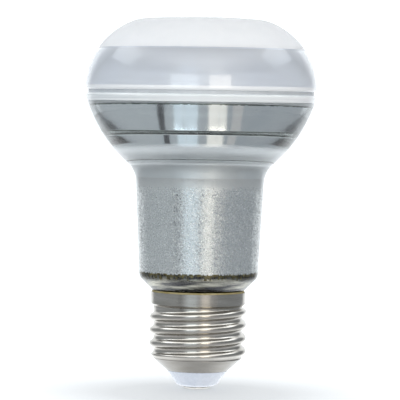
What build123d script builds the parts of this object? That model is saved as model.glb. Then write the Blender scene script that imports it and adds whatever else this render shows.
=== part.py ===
from build123d import *
import os
from math import asin, cos, degrees, radians, sin, sqrt, tan

os.makedirs("parts", exist_ok=True)

# All sizes are in millimetres. The lamp stands on its end contact, with its axis along +Z.

# Whole lamp
bulb_diameter = 63.0
glass_rim_height = 80.1
seam_gap = 0.9

# Front lens: round shoulder, tighter edge, nearly flat crown, thick foot inside
lens_shoulder_radius = 20.0
lens_edge_radius = 11.0
lens_edge_turn = 68.0
lens_crown_slope = 4.0
lens_wall = 1.8
lens_foot_width = 5.0
lens_foot_height = 1.2
lens_edge_fillet = 0.5

# Glass body: bowl, tapered neck, rolled-in shoulder and the tube that enters the cap
rim_width = 3.7
rim_fillet = 0.4
bowl_arc_radius = 37.4
bowl_base_height = 59.4
neck_top_diameter = 35.2
neck_bottom_diameter = 32.3
neck_wall = 1.5
neck_fillet = 5.0
shoulder_height = 4.0
shoulder_dip = 0.75
shoulder_fillet = 1.3
tube_fillet = 1.6
tube_depth = 9.0
tube_wall = 1.2
upper_band_draft = 8.5
band_ledge = 3.0
lower_band_height = 5.7
lower_band_draft = 12.0
dish_edge_rise = 5.2
dish_mouth_rise = 3.8
dish_fillet = 5.0
mouth_fillet = 1.0
least_wall = 1.0
band_edge_fillet = 0.3

# Screw cap: E27 round thread rolled in thin sheet
cap_height = 26.4
thread_major_diameter = 26.3
thread_depth = 1.1
thread_pitch = 3.629
thread_lead_in = 1.4
thread_run_out = 1.0
crest_below_top = 5.1
sheet_thickness = 0.3
collar_setback = 0.25
collar_length = 3.2
collar_step = 0.7
cone_top_height = 8.3
lip_height = 5.0
lip_diameter = 16.6
lip_bevel = 22.5
lip_clearance = 0.05
thread_steps = 32
sections_per_half = 9

# Cement between cap and glass, with a bead above the cap's edge
cement_gap = 0.35
cement_foot_gap = 0.35
cement_bead = 0.6
cement_clearance = 0.05

# End contact and its insulator
contact_diameter = 7.8
contact_flat_diameter = 4.4
contact_head_height = 0.7
contact_edge_height = 0.2
rivet_diameter = 2.6
rivet_head_diameter = 4.2
rivet_head_height = 0.7
rivet_clearance = 0.05
insulator_face_margin = 0.2
insulator_foot_diameter = 11.0
insulator_foot_rise = 0.5
insulator_foot_fillet = 0.8
insulator_floor = 2.6
insulator_cup_floor_diameter = 7.2
insulator_rim_width = 2.6
insulator_rim_height = 0.3
insulator_clearance = 0.1
notch_clearance = 0.3

# Heat spreader: drawn hat, its brim in the seam
spreader_sheet = 1.2
crown_height = 4.8
crown_clearance = 0.4
crown_fillet = 1.5
seal_depth = 2.1
seal_setback = 0.9

# LED board and packages
led_board_thickness = 1.2
led_count = 8
led_inset = 6.6
led_length = 3.5
led_width = 2.8
led_height = 0.6
led_window_margin = 0.4
led_window_height = 0.12
led_corner_fillet = 0.3

# Bright cone between the LED board and the frosted face
cone_height = 6.5
cone_inset = 4.3
cone_foot_clearance = 0.2
cone_wall = 1.0
cone_rim_clearance = 0.3

# Driver housing and board
housing_clearance = 0.4
housing_wall = 0.9
housing_floor = 1.0
housing_headroom = 2.0
guide_reach = 1.5
guide_width = 1.0
board_thickness = 1.2
board_side_clearance = 0.2
board_face_clearance = 0.1
row_gap = 1.0

# Driver parts
mount_clearance = 0.1
pin_diameter = 0.6
pin_hole_clearance = 0.15
pin_stub = 0.8
pin_run = 1.5
pin_bend = 0.6
resistor_diameter = 3.0
resistor_length = 6.5
resistor_waist = 0.3
film_width = 7.0
film_height = 4.0
film_length = 7.0
film_pin_pitch = 5.0
film_edge_fillet = 0.5
drum_diameter = 7.0
drum_height = 6.0
drum_flange = 1.0
drum_post_diameter = 3.4
winding_depth = 1.3
winding_layers = 6
winding_clearance = 0.05
bulk_diameter = 6.3
bulk_length = 12.5
bulk_pin_pitch = 2.5
bulk_crimp_depth = 0.35
bulk_crimp_offset = 1.8
bulk_edge_fillet = 0.5
bridge_width = 4.0
bridge_height = 2.3
bridge_length = 4.7
bridge_lead_pitch = 2.5
bridge_lead_pairs = 2
chip_width = 3.9
chip_height = 1.5
chip_length = 4.9
chip_lead_pitch = 1.27
chip_lead_pairs = 4
lead_foot_length = 0.9
lead_strip_width = 0.5
lead_strip_thickness = 0.2

# Insulated leads
lead_diameter = 1.0
lead_hole_clearance = 0.3
lead_bend = 1.5
mains_lead_spread = 6.0
led_lead_spread = 4.8
pad_length = 5.0
led_pad_reach = 8.0
neutral_lead_gap = 1.2


def keep(builder, name):
    builder.part.label = name
    export_step(builder.part, "parts/" + name + ".step")


def nearest(points, r, z):
    return points.sort_by_distance((r, z, 0))[0]


# Sizes that follow from the ones above
bulb_radius = bulb_diameter / 2
rim_radius = bulb_radius
rim_bore = rim_radius - rim_width
lens_bottom = glass_rim_height + seam_gap
lens_foot_bore = bulb_radius - lens_foot_width

crest_radius = thread_major_diameter / 2
root_radius = crest_radius - thread_depth
shell_bore = root_radius - sheet_thickness
collar_radius = crest_radius - collar_setback
collar_bottom = cap_height - collar_length
thread_top = collar_bottom - collar_step
lip_radius = lip_diameter / 2

tube_radius = shell_bore - cement_gap
tube_bore = tube_radius - tube_wall
tube_bottom = cap_height - tube_depth
tube_top = cap_height - shoulder_dip
neck_top_radius = neck_top_diameter / 2
neck_bottom_radius = neck_bottom_diameter / 2
neck_bottom_height = cap_height + shoulder_height

# The shoulder of the lens rises square from its bottom, and edge and crown follow on tangent to it
edge_start = radians(lens_edge_turn)
crown_slope = radians(lens_crown_slope)
shoulder_centre_r = bulb_radius - lens_shoulder_radius
edge_centre_r = shoulder_centre_r + (lens_shoulder_radius - lens_edge_radius) * cos(edge_start)
edge_centre_z = lens_bottom + (lens_shoulder_radius - lens_edge_radius) * sin(edge_start)
crown_radius = edge_centre_r / sin(crown_slope) + lens_edge_radius
crown_centre_z = edge_centre_z - (crown_radius - lens_edge_radius) * cos(crown_slope)


# Inside radius of the lens at a height on its shoulder
def lens_bore_at(z):
    inner_radius = lens_shoulder_radius - lens_wall
    return shoulder_centre_r + sqrt(inner_radius**2 - (z - lens_bottom) ** 2)


# Outside radius of the bowl at a height, from the arc between its base and the rim
def bowl_radius_at(z):
    run = rim_radius - neck_top_radius
    rise = glass_rim_height - bowl_base_height
    chord = sqrt(run**2 + rise**2)
    reach = sqrt(bowl_arc_radius**2 - chord**2 / 4)
    centre_r = (neck_top_radius + rim_radius) / 2 - reach * rise / chord
    centre_z = (bowl_base_height + glass_rim_height) / 2 + reach * run / chord
    return centre_r + sqrt(bowl_arc_radius**2 - (z - centre_z) ** 2)


# Front lens: outside and inside are the same three arcs, a wall apart
crown_turn = 90 - lens_crown_slope
lens_foot_top = lens_bottom + lens_foot_height
foot_turn = degrees(asin(lens_foot_height / (lens_shoulder_radius - lens_wall)))
with BuildPart() as front_lens:
    with BuildSketch(Plane.XZ) as lens_profile:
        with BuildLine():
            wall_ends = []
            for inset, start in ((0, 0), (lens_wall, foot_turn)):
                shoulder = CenterArc(
                    (shoulder_centre_r, lens_bottom),
                    lens_shoulder_radius - inset,
                    start,
                    lens_edge_turn - start,
                )
                CenterArc(
                    (edge_centre_r, edge_centre_z),
                    lens_edge_radius - inset,
                    lens_edge_turn,
                    crown_turn - lens_edge_turn,
                )
                crown = CenterArc(
                    (0, crown_centre_z), crown_radius - inset, crown_turn, lens_crown_slope
                )
                wall_ends.append((shoulder @ 0, crown @ 1))
            Line(wall_ends[0][1], wall_ends[1][1])
            Polyline(
                wall_ends[1][0],
                (lens_foot_bore, lens_foot_top),
                (lens_foot_bore, lens_bottom),
                (bulb_radius, lens_bottom),
            )
        make_face()
        fillet(nearest(lens_profile.vertices(), bulb_radius, lens_bottom), lens_edge_fillet)
    revolve(axis=Axis.Z)
keep(front_lens, "front_lens")

# Glass body: inside, two steep mirror bands with a ledge between them, then a round dish to the neck
mouth_radius = neck_top_radius - neck_wall
mouth_height = bowl_base_height + dish_mouth_rise
base_height = bowl_base_height + dish_edge_rise
ledge_height = base_height + lower_band_height
upper_band_height = glass_rim_height - ledge_height
ledge_bore = min(
    rim_bore - upper_band_height * tan(radians(upper_band_draft)),
    bowl_radius_at(ledge_height) - least_wall,
)
lower_bore = ledge_bore - band_ledge
base_bore = min(
    lower_bore - lower_band_height * tan(radians(lower_band_draft)),
    bowl_radius_at(base_height) - least_wall,
)
with BuildPart() as glass_reflector:
    with BuildSketch(Plane.XZ) as glass_profile:
        with BuildLine():
            RadiusArc(
                (neck_top_radius, bowl_base_height), (rim_radius, glass_rim_height), -bowl_arc_radius
            )
            Polyline(
                (rim_radius, glass_rim_height),
                (rim_bore, glass_rim_height),
                (ledge_bore, ledge_height),
                (lower_bore, ledge_height),
                (base_bore, base_height),
                (mouth_radius, mouth_height),
                (neck_bottom_radius - neck_wall, neck_bottom_height),
                (tube_bore, tube_top),
                (tube_bore, tube_bottom),
                (tube_radius, tube_bottom),
                (tube_radius, tube_top),
                (neck_bottom_radius, neck_bottom_height),
                (neck_top_radius, bowl_base_height),
            )
        make_face()
        fillet(nearest(glass_profile.vertices(), rim_radius, glass_rim_height), rim_fillet)
        fillet(nearest(glass_profile.vertices(), neck_top_radius, bowl_base_height), neck_fillet)
        fillet(nearest(glass_profile.vertices(), base_bore, base_height), dish_fillet)
        fillet(nearest(glass_profile.vertices(), mouth_radius, mouth_height), mouth_fillet)
        for radius in (neck_bottom_radius, neck_bottom_radius - neck_wall):
            fillet(nearest(glass_profile.vertices(), radius, neck_bottom_height), shoulder_fillet)
        for radius in (tube_radius, tube_bore):
            fillet(nearest(glass_profile.vertices(), radius, tube_top), tube_fillet)
        for radius in (ledge_bore, lower_bore):
            fillet(nearest(glass_profile.vertices(), radius, ledge_height), band_edge_fillet)
    revolve(axis=Axis.Z)
keep(glass_reflector, "glass_reflector")

# Screw shell: the round thread is two tangent arcs per pitch, and fades in and out by height
thread_arc_radius = (thread_pitch**2 / 16 + thread_depth**2 / 4) / thread_depth


def thread_radius_at(z, angle):
    crest_height = cap_height - crest_below_top + thread_pitch * angle / 360
    offset = (z - crest_height + thread_pitch / 2) % thread_pitch - thread_pitch / 2
    from_crest = abs(offset)
    if from_crest < thread_pitch / 4:
        height = thread_depth - thread_arc_radius + sqrt(thread_arc_radius**2 - from_crest**2)
    else:
        from_root = thread_pitch / 2 - from_crest
        height = thread_arc_radius - sqrt(thread_arc_radius**2 - from_root**2)
    lead_in = (z - cone_top_height) / thread_lead_in
    run_out = (thread_top - z) / thread_run_out
    share = max(0, min(1, lead_in, run_out))
    return root_radius + height * share**2 * (3 - 2 * share)


thread_step = (thread_top - cone_top_height) / thread_steps
thread_levels = [cone_top_height + thread_step * i for i in range(thread_steps + 1)]
lip_drop = sheet_thickness * tan(radians(lip_bevel))

with BuildPart() as screw_shell:
    for half_start in (0, 180):
        for i in range(sections_per_half + 1):
            angle = half_start + 180 * i / sections_per_half
            across = (cos(radians(angle)), sin(radians(angle)), 0)
            around = (sin(radians(angle)), -cos(radians(angle)), 0)
            with BuildSketch(Plane(origin=(0, 0, 0), x_dir=across, z_dir=around)):
                with BuildLine():
                    outside = [(thread_radius_at(z, angle), z) for z in thread_levels]
                    inside = [(r - sheet_thickness, z) for r, z in reversed(outside)]
                    Line((lip_radius, lip_height), outside[0])
                    Spline(*outside)
                    Polyline(
                        outside[-1],
                        (collar_radius, collar_bottom),
                        (collar_radius, cap_height),
                        (collar_radius - sheet_thickness, cap_height),
                        (collar_radius - sheet_thickness, collar_bottom),
                        inside[0],
                    )
                    Spline(*inside)
                    Polyline(
                        inside[-1],
                        (lip_radius - sheet_thickness, lip_height + lip_drop),
                        (lip_radius, lip_height),
                    )
                make_face()
        loft()
keep(screw_shell, "screw_shell")

# Cement ring, cast against the glass from the middle of its wall outwards
cement_top = cap_height + cement_bead
cement_bottom = collar_bottom + cement_foot_gap
cement_radius = collar_radius - sheet_thickness - cement_clearance
tube_middle = tube_radius - tube_wall / 2
shoulder_spread = (neck_bottom_radius - neck_wall / 2 - tube_middle) / (neck_bottom_height - tube_top)
cement_top_bore = tube_middle + shoulder_spread * (cement_top - tube_top)
with BuildPart() as cap_cement:
    with BuildSketch(Plane.XZ):
        with BuildLine():
            Polyline(
                (tube_middle, cement_bottom),
                (cement_radius, cement_bottom),
                (cement_radius, cement_top),
                (cement_top_bore, cement_top),
                (tube_middle, tube_top),
                close=True,
            )
        make_face()
    revolve(axis=Axis.Z)
    add(glass_reflector.part, mode=Mode.SUBTRACT)
keep(cap_cement, "cap_cement")

# End contact: shallow dome with a flat middle, riveted through the insulator's floor
contact_radius = contact_diameter / 2
rivet_radius = rivet_diameter / 2
rivet_head_bottom = contact_head_height + insulator_floor
rivet_top = rivet_head_bottom + rivet_head_height
with BuildPart() as centre_contact:
    with BuildSketch(Plane.XZ):
        with BuildLine():
            Line((0, 0), (contact_flat_diameter / 2, 0))
            dome = TangentArc(
                (contact_flat_diameter / 2, 0),
                (contact_radius, contact_head_height - contact_edge_height),
                tangent=(1, 0),
            )
            Polyline(
                dome @ 1,
                (contact_radius, contact_head_height),
                (rivet_radius, contact_head_height),
                (rivet_radius, rivet_head_bottom),
                (rivet_head_diameter / 2, rivet_head_bottom),
                (rivet_head_diameter / 2, rivet_top),
                (0, rivet_top),
                (0, 0),
            )
        make_face()
    revolve(axis=Axis.Z)
keep(centre_contact, "centre_contact")

# Insulator: white cone below the shell's lip, cup inside the shell
insulator_top = cone_top_height + insulator_rim_height
plug_radius = shell_bore - insulator_clearance
cup_mouth_radius = plug_radius - insulator_rim_width
lip_slope = lip_drop / sheet_thickness
plug_neck_radius = lip_radius - sheet_thickness - insulator_clearance
ledge_top = lip_height - lip_clearance
plug_neck_height = ledge_top + lip_slope * (lip_radius - plug_neck_radius)
lead_rest = mount_clearance + lead_diameter / 2
lead_y = -board_thickness / 2 - lead_rest
notch_size = lead_diameter + 2 * notch_clearance
insulator_foot_height = contact_head_height + insulator_foot_rise
with BuildPart() as cap_insulator:
    with BuildSketch(Plane.XZ) as insulator_profile:
        with BuildLine():
            Polyline(
                (rivet_radius + rivet_clearance, contact_head_height),
                (contact_radius + insulator_face_margin, contact_head_height),
                (insulator_foot_diameter / 2, insulator_foot_height),
                (lip_radius, ledge_top),
                (plug_neck_radius, plug_neck_height),
                (plug_radius, cone_top_height),
                (plug_radius, insulator_top),
                (cup_mouth_radius, insulator_top),
                (insulator_cup_floor_diameter / 2, rivet_head_bottom),
                (rivet_radius + rivet_clearance, rivet_head_bottom),
                close=True,
            )
        make_face()
        foot_corner = nearest(
            insulator_profile.vertices(), insulator_foot_diameter / 2, insulator_foot_height
        )
        fillet(foot_corner, insulator_foot_fillet)
    revolve(axis=Axis.Z)
    with BuildSketch(Plane.XY.offset(insulator_top)):
        with Locations((plug_radius, lead_y)):
            Rectangle(2 * (insulator_rim_width + notch_size), notch_size)
    extrude(amount=-notch_size, mode=Mode.SUBTRACT)
keep(cap_insulator, "cap_insulator")

# Heat spreader
spreader_top = lens_bottom + crown_height
spreader_radius = lens_foot_bore - crown_clearance
brim_radius = bulb_radius - seal_depth
spreader_bore = spreader_radius - spreader_sheet
led_lead_x = led_lead_spread / 2
wire_hole_radius = sqrt(led_lead_x**2 + lead_y**2) + (lead_diameter + lead_bend) / 2
with BuildPart() as heat_spreader:
    with BuildSketch(Plane.XZ) as hat_profile:
        with BuildLine():
            Polyline(
                (wire_hole_radius, spreader_top),
                (spreader_radius, spreader_top),
                (spreader_radius, lens_bottom),
                (brim_radius, lens_bottom),
                (brim_radius, glass_rim_height),
                (spreader_bore, glass_rim_height),
                (spreader_bore, spreader_top - spreader_sheet),
                (wire_hole_radius, spreader_top - spreader_sheet),
                close=True,
            )
        make_face()
        fillet(nearest(hat_profile.vertices(), spreader_radius, spreader_top), crown_fillet)
    revolve(axis=Axis.Z)
keep(heat_spreader, "heat_spreader")

# Seal in the seam, around the brim
with BuildPart() as lens_seal:
    with BuildSketch(Plane.XY.offset(glass_rim_height)):
        Circle(bulb_radius - seal_setback)
        Circle(brim_radius, mode=Mode.SUBTRACT)
    extrude(amount=seam_gap)
keep(lens_seal, "lens_seal")

# LED board and packages
board_face = spreader_top + led_board_thickness
cone_foot_bore = spreader_radius - cone_inset - cone_wall
led_board_radius = cone_foot_bore - cone_foot_clearance
led_ring_radius = led_board_radius - led_inset
with BuildPart() as led_board:
    with BuildSketch(Plane.XY.offset(spreader_top)):
        Circle(led_board_radius)
        Circle(wire_hole_radius, mode=Mode.SUBTRACT)
    extrude(amount=led_board_thickness)
keep(led_board, "led_board")

for i in range(led_count):
    led_angle = radians(360 * (i + 0.5) / led_count)
    led_out = (cos(led_angle), sin(led_angle), 0)
    led_place = Vector(*led_out) * led_ring_radius + Vector(0, 0, board_face)
    with BuildPart(Plane(origin=led_place, x_dir=led_out, z_dir=(0, 0, 1))) as led:
        Box(led_length, led_width, led_height, align=(Align.CENTER, Align.CENTER, Align.MIN))
        fillet(led.edges().filter_by(Axis.Z), led_corner_fillet)
        with BuildSketch(led.faces().sort_by(Axis.Z)[-1]):
            RectangleRounded(
                led_length - 2 * led_window_margin,
                led_width - 2 * led_window_margin,
                led_corner_fillet,
            )
        extrude(amount=led_window_height)
    keep(led, "led_" + str(i + 1))

# Bright cone: upright foot around the board, then a flare up to the lens
cone_top = spreader_top + cone_height
cone_rim_radius = lens_bore_at(cone_top) - cone_rim_clearance
with BuildPart() as reflector_ring:
    with BuildSketch(Plane.XZ):
        with BuildLine():
            foot_inside = Line((cone_foot_bore, spreader_top), (cone_foot_bore, board_face))
            flare_inside = TangentArc(
                foot_inside @ 1, (cone_rim_radius - cone_wall, cone_top), tangent=(0, 1)
            )
            foot_outside = Line(
                (cone_foot_bore + cone_wall, spreader_top), (cone_foot_bore + cone_wall, board_face)
            )
            flare_outside = TangentArc(foot_outside @ 1, (cone_rim_radius, cone_top), tangent=(0, 1))
            Line(flare_inside @ 1, flare_outside @ 1)
            Line(foot_inside @ 0, foot_outside @ 0)
        make_face()
    revolve(axis=Axis.Z)
keep(reflector_ring, "reflector_ring")

# Stations along the driver board, each set off from the one before
board_bottom = insulator_top + housing_floor
pin_radius = pin_diameter / 2
resistor_span = max(resistor_length + 2 * pin_run, film_length + row_gap)
drum_span = max(drum_diameter, bridge_length)
resistor_station = board_bottom + pad_length + row_gap + resistor_span / 2
drum_station = resistor_station + resistor_span / 2 + row_gap + drum_span / 2
bulk_pin_station = drum_station + drum_span / 2 + row_gap
bulk_bottom = bulk_pin_station + pin_run
bulk_top = bulk_bottom + bulk_length
board_top = bulk_top + row_gap + pad_length
front_face = board_thickness / 2
back_face = -board_thickness / 2

# Driver housing: tube with a floor, guides for the board and two lead holes
housing_radius = tube_bore - housing_clearance
housing_bore = housing_radius - housing_wall
housing_top = board_top + housing_headroom
board_half_width = housing_bore - board_side_clearance
guide_offset = board_thickness / 2 + board_face_clearance
lead_hole_radius = lead_diameter / 2 + lead_hole_clearance
mains_x = mains_lead_spread / 2
with BuildPart() as driver_housing:
    with BuildSketch(Plane.XY.offset(insulator_top)):
        Circle(housing_radius)
        with Locations((-mains_x, lead_y), (mains_x, lead_y)):
            Circle(lead_hole_radius, mode=Mode.SUBTRACT)
    extrude(amount=housing_floor)
    with BuildSketch(Plane.XY.offset(board_bottom)):
        Circle(housing_radius)
        Circle(housing_bore, mode=Mode.SUBTRACT)
        for side in (-1, 1):
            for face in (-1, 1):
                with Locations(
                    (
                        side * (housing_bore - guide_reach / 2),
                        face * (guide_offset + guide_width / 2),
                    )
                ):
                    Rectangle(guide_reach, guide_width)
    extrude(amount=housing_top - board_bottom)
keep(driver_housing, "driver_housing")

# Driver board with its pin holes
resistor_pins = [
    (0, resistor_station - resistor_span / 2),
    (0, resistor_station + resistor_span / 2),
]
film_pins = [(-film_pin_pitch / 2, resistor_station), (film_pin_pitch / 2, resistor_station)]
bulk_pins = [(-bulk_pin_pitch / 2, bulk_pin_station), (bulk_pin_pitch / 2, bulk_pin_station)]
with BuildPart() as driver_board:
    with BuildSketch(Plane.XZ.offset(back_face)):
        with Locations((0, (board_bottom + board_top) / 2)):
            Rectangle(2 * board_half_width, board_top - board_bottom)
        with Locations(*resistor_pins, *film_pins, *bulk_pins):
            Circle(pin_radius + pin_hole_clearance, mode=Mode.SUBTRACT)
    extrude(amount=board_thickness)
keep(driver_board, "driver_board")

# Fusible resistor: dumb-bell body on the back of the board, its wires bent through the holes
resistor_y = back_face - mount_clearance - resistor_diameter / 2
with BuildPart() as fuse_resistor:
    with BuildSketch(Plane.XZ.offset(-resistor_y)):
        with BuildLine():
            low = resistor_station - resistor_length / 2
            high = resistor_station + resistor_length / 2
            Line((0, low), (resistor_diameter / 2, low))
            ThreePointArc(
                (resistor_diameter / 2, low),
                (resistor_diameter / 2 - resistor_waist, resistor_station),
                (resistor_diameter / 2, high),
            )
            Polyline((resistor_diameter / 2, high), (0, high), (0, low))
        make_face()
    revolve(axis=Axis((0, resistor_y, 0), (0, 0, 1)))
    for end, pin in ((low, resistor_pins[0]), (high, resistor_pins[1])):
        with BuildLine() as wire:
            FilletPolyline(
                (0, resistor_y, end),
                (0, resistor_y, pin[1]),
                (0, front_face + pin_stub, pin[1]),
                radius=pin_bend,
            )
        with BuildSketch(Plane(origin=wire.line @ 0, z_dir=wire.line % 0)):
            Circle(pin_radius)
        sweep(path=wire.line)
keep(fuse_resistor, "fuse_resistor")

# Film capacitor: rounded box on the front of the board, with two straight pins
with BuildPart() as film_capacitor:
    with BuildSketch(Plane.XZ.offset(-front_face)):
        with Locations((0, resistor_station)):
            Rectangle(film_width, film_length)
    extrude(amount=-film_height)
    fillet(film_capacitor.edges().filter_by(Axis.Y), film_edge_fillet)
    fillet(film_capacitor.faces().sort_by(Axis.Y)[-1].edges(), film_edge_fillet)
    with BuildSketch(Plane.XZ.offset(-front_face)):
        with Locations(*film_pins):
            Circle(pin_radius)
    extrude(amount=board_thickness + pin_stub)
keep(film_capacitor, "film_capacitor")

# Choke: ferrite drum with its axis square to the board, and the winding round its post
drum_base = front_face
drum_end = drum_base + drum_height
drum_axis = Axis((0, 0, drum_station), (0, 1, 0))
post_radius = drum_post_diameter / 2
with BuildPart() as inductor_core:
    with BuildSketch(Plane.XY.offset(drum_station)):
        with BuildLine():
            Polyline(
                (0, drum_base),
                (drum_diameter / 2, drum_base),
                (drum_diameter / 2, drum_base + drum_flange),
                (post_radius, drum_base + drum_flange),
                (post_radius, drum_end - drum_flange),
                (drum_diameter / 2, drum_end - drum_flange),
                (drum_diameter / 2, drum_end),
                (0, drum_end),
                close=True,
            )
        make_face()
    revolve(axis=drum_axis)
keep(inductor_core, "inductor_core")

winding_bore = post_radius + winding_clearance
winding_start = drum_base + drum_flange + winding_clearance
winding_turn = (drum_height - 2 * drum_flange - 2 * winding_clearance) / winding_layers
winding_radius = winding_bore + winding_depth
with BuildPart() as inductor_winding:
    with BuildSketch(Plane.XY.offset(drum_station)):
        with BuildLine():
            for i in range(winding_layers):
                turn_low = winding_start + winding_turn * i
                ThreePointArc(
                    (winding_radius - winding_turn / 2, turn_low),
                    (winding_radius, turn_low + winding_turn / 2),
                    (winding_radius - winding_turn / 2, turn_low + winding_turn),
                )
            Polyline(
                (winding_radius - winding_turn / 2, turn_low + winding_turn),
                (winding_bore, turn_low + winding_turn),
                (winding_bore, winding_start),
                (winding_radius - winding_turn / 2, winding_start),
            )
        make_face()
    revolve(axis=drum_axis)
keep(inductor_winding, "inductor_winding")

# Bulk capacitor: crimped can lying on the front of the board
bulk_radius = bulk_diameter / 2
bulk_y = front_face + mount_clearance + bulk_radius
crimp_height = bulk_bottom + bulk_crimp_offset
with BuildPart() as bulk_capacitor:
    with BuildSketch(Plane.XZ.offset(-bulk_y)) as can_profile:
        with BuildLine():
            Polyline(
                (0, bulk_bottom),
                (bulk_radius, bulk_bottom),
                (bulk_radius, crimp_height - bulk_crimp_depth),
            )
            ThreePointArc(
                (bulk_radius, crimp_height - bulk_crimp_depth),
                (bulk_radius - bulk_crimp_depth, crimp_height),
                (bulk_radius, crimp_height + bulk_crimp_depth),
            )
            Polyline(
                (bulk_radius, crimp_height + bulk_crimp_depth),
                (bulk_radius, bulk_top),
                (0, bulk_top),
                (0, bulk_bottom),
            )
        make_face()
        for z in (bulk_bottom, bulk_top):
            fillet(nearest(can_profile.vertices(), bulk_radius, z), bulk_edge_fillet)
    revolve(axis=Axis((0, bulk_y, 0), (0, 0, 1)))
    for pin in bulk_pins:
        with BuildLine() as wire:
            FilletPolyline(
                (pin[0], bulk_y, bulk_bottom),
                (pin[0], bulk_y, pin[1]),
                (pin[0], back_face - pin_stub, pin[1]),
                radius=pin_bend,
            )
        with BuildSketch(Plane(origin=wire.line @ 0, z_dir=wire.line % 0)):
            Circle(pin_radius)
        sweep(path=wire.line)
keep(bulk_capacitor, "bulk_capacitor")


# Moulded package on the back of the board, with stepped leads on both sides
def make_package(name, width, height, length, pitch, pairs, station):
    lead_rows = [station + pitch * (i - (pairs - 1) / 2) for i in range(pairs)]
    foot_x = (width + lead_foot_length) / 2
    riser_x = (width + lead_strip_thickness) / 2
    with BuildPart() as package:
        with BuildSketch(Plane.XZ.offset(-back_face + lead_strip_thickness)):
            with Locations((0, station)):
                Rectangle(width, length)
        extrude(amount=height)
        with BuildSketch(Plane.XZ.offset(-back_face)):
            with Locations(*[(side * foot_x, row) for side in (-1, 1) for row in lead_rows]):
                Rectangle(lead_foot_length, lead_strip_width)
        extrude(amount=lead_strip_thickness)
        with BuildSketch(Plane.XZ.offset(-back_face)):
            with Locations(*[(side * riser_x, row) for side in (-1, 1) for row in lead_rows]):
                Rectangle(lead_strip_thickness, lead_strip_width)
        extrude(amount=height / 2)
    keep(package, name)


make_package(
    "bridge_rectifier",
    bridge_width,
    bridge_height,
    bridge_length,
    bridge_lead_pitch,
    bridge_lead_pairs,
    drum_station,
)
make_package(
    "driver_chip",
    chip_width,
    chip_height,
    chip_length,
    chip_lead_pitch,
    chip_lead_pairs,
    (bulk_bottom + bulk_top) / 2,
)


# Insulated lead along straight runs with round bends
def make_lead(name, *points):
    with BuildPart() as lead:
        with BuildLine() as route:
            FilletPolyline(*points, radius=lead_bend)
        with BuildSketch(Plane(origin=route.line @ 0, z_dir=route.line % 0)):
            Circle(lead_diameter / 2)
        sweep(path=route.line)
    keep(lead, name)


contact_lead_height = rivet_top + lead_rest
neutral_height = insulator_top - notch_size / 2
make_lead(
    "live_lead",
    (-mains_x, lead_y, board_bottom + pad_length),
    (-mains_x, lead_y, contact_lead_height),
    (0, 0, contact_lead_height),
)
make_lead(
    "neutral_lead",
    (mains_x, lead_y, board_bottom + pad_length),
    (mains_x, lead_y, neutral_height),
    (shell_bore - neutral_lead_gap, lead_y, neutral_height),
)

led_lead_height = board_face + lead_rest
for name, side in (("led_lead_positive", 1), ("led_lead_negative", -1)):
    make_lead(
        name,
        (side * led_lead_x, lead_y, board_top - pad_length),
        (side * led_lead_x, lead_y, led_lead_height),
        (side * led_pad_reach, lead_y, led_lead_height),
    )
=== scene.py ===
import math
import random

import bpy
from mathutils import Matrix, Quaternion, Vector
from mathutils.geometry import interpolate_bezier


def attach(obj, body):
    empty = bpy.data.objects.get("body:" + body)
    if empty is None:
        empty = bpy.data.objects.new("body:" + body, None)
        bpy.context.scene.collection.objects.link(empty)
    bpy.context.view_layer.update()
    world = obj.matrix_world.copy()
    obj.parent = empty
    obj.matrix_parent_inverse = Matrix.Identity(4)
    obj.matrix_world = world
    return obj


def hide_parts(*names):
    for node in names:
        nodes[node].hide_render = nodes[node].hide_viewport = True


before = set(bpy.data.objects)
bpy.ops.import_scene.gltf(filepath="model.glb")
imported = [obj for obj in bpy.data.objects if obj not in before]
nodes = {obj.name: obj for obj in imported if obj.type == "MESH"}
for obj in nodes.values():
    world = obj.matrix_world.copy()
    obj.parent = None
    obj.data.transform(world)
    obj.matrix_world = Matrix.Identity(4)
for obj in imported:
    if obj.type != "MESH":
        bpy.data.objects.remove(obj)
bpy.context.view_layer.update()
scene = bpy.context.scene
random.seed(7)
mm = 0.001
print("frame loaded,", len(nodes), "nodes")

# how profiles are rounded and turned: merge distance in mm, angle in degrees
latheValues = {"cornerPull": 0.55, "merge": 0.002, "smoothAngle": 28}


# points along a straight run, without its first point
def runTo(start, end, count):
    return [
        (start[0] + (end[0] - start[0]) * i / count, start[1] + (end[1] - start[1]) * i / count)
        for i in range(1, count + 1)
    ]


# points along an arc about a centre, first point included
def arcAbout(centre, radius, startDeg, endDeg, count):
    angles = [math.radians(startDeg + (endDeg - startDeg) * i / count) for i in range(count + 1)]
    return [(centre[0] + radius * math.cos(a), centre[1] + radius * math.sin(a)) for a in angles]


# arc from start to end with its centre on the left, first point left out
def arcTo(start, end, radius, count):
    run, rise = end[0] - start[0], end[1] - start[1]
    chord = math.hypot(run, rise)
    reach = math.sqrt(radius**2 - chord**2 / 4)
    centre = (
        (start[0] + end[0]) / 2 - reach * rise / chord,
        (start[1] + end[1]) / 2 + reach * run / chord,
    )
    first = math.degrees(math.atan2(start[1] - centre[1], start[0] - centre[0]))
    sweep = 2 * math.degrees(math.asin(chord / 2 / radius))
    return arcAbout(centre, radius, first, first + sweep, count)[1:]


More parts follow.
